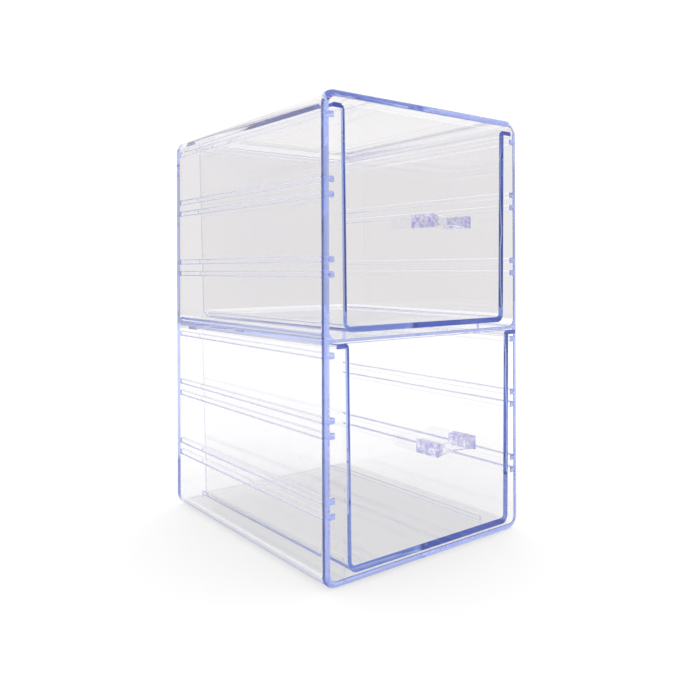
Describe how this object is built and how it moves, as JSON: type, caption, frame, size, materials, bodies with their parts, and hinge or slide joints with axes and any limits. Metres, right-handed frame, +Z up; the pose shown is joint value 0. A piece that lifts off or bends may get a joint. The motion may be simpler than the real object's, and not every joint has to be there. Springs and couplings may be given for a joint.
{
  "type": "clear makeup organizer with drawers",
  "caption": "Tall clear plastic box with drawers stacked one above the other, guide ribs along its sides and a bow-shaped pull on each drawer.",
  "frame": {"origin": "centre of the casing's flat base", "axes": "+Z up, -Y towards the open front where the drawers come out, X across the width"},
  "size_m": [0.12, 0.1567, 0.2036],
  "materials": {
    "casing_clear": "clear, polished",
    "drawer_clear": "clear, polished",
    "handle_clear": "clear, polished"
  },
  "bodies": {
    "casing": {"casing": "casing_clear"},
    "upper_drawer": {"upper_drawer": "drawer_clear", "upper_handle": "handle_clear"},
    "lower_drawer": {"lower_drawer": "drawer_clear", "lower_handle": "handle_clear"}
  },
  "joints": [
    {"name": "upper_drawer_slide", "type": "slide", "parent": "casing", "child": "upper_drawer", "axis": [0, -1, 0], "range_m": [0, 0.1]},
    {"name": "lower_drawer_slide", "type": "slide", "parent": "casing", "child": "lower_drawer", "axis": [0, -1, 0], "range_m": [-0.0025, 0.0975]}
  ]
}
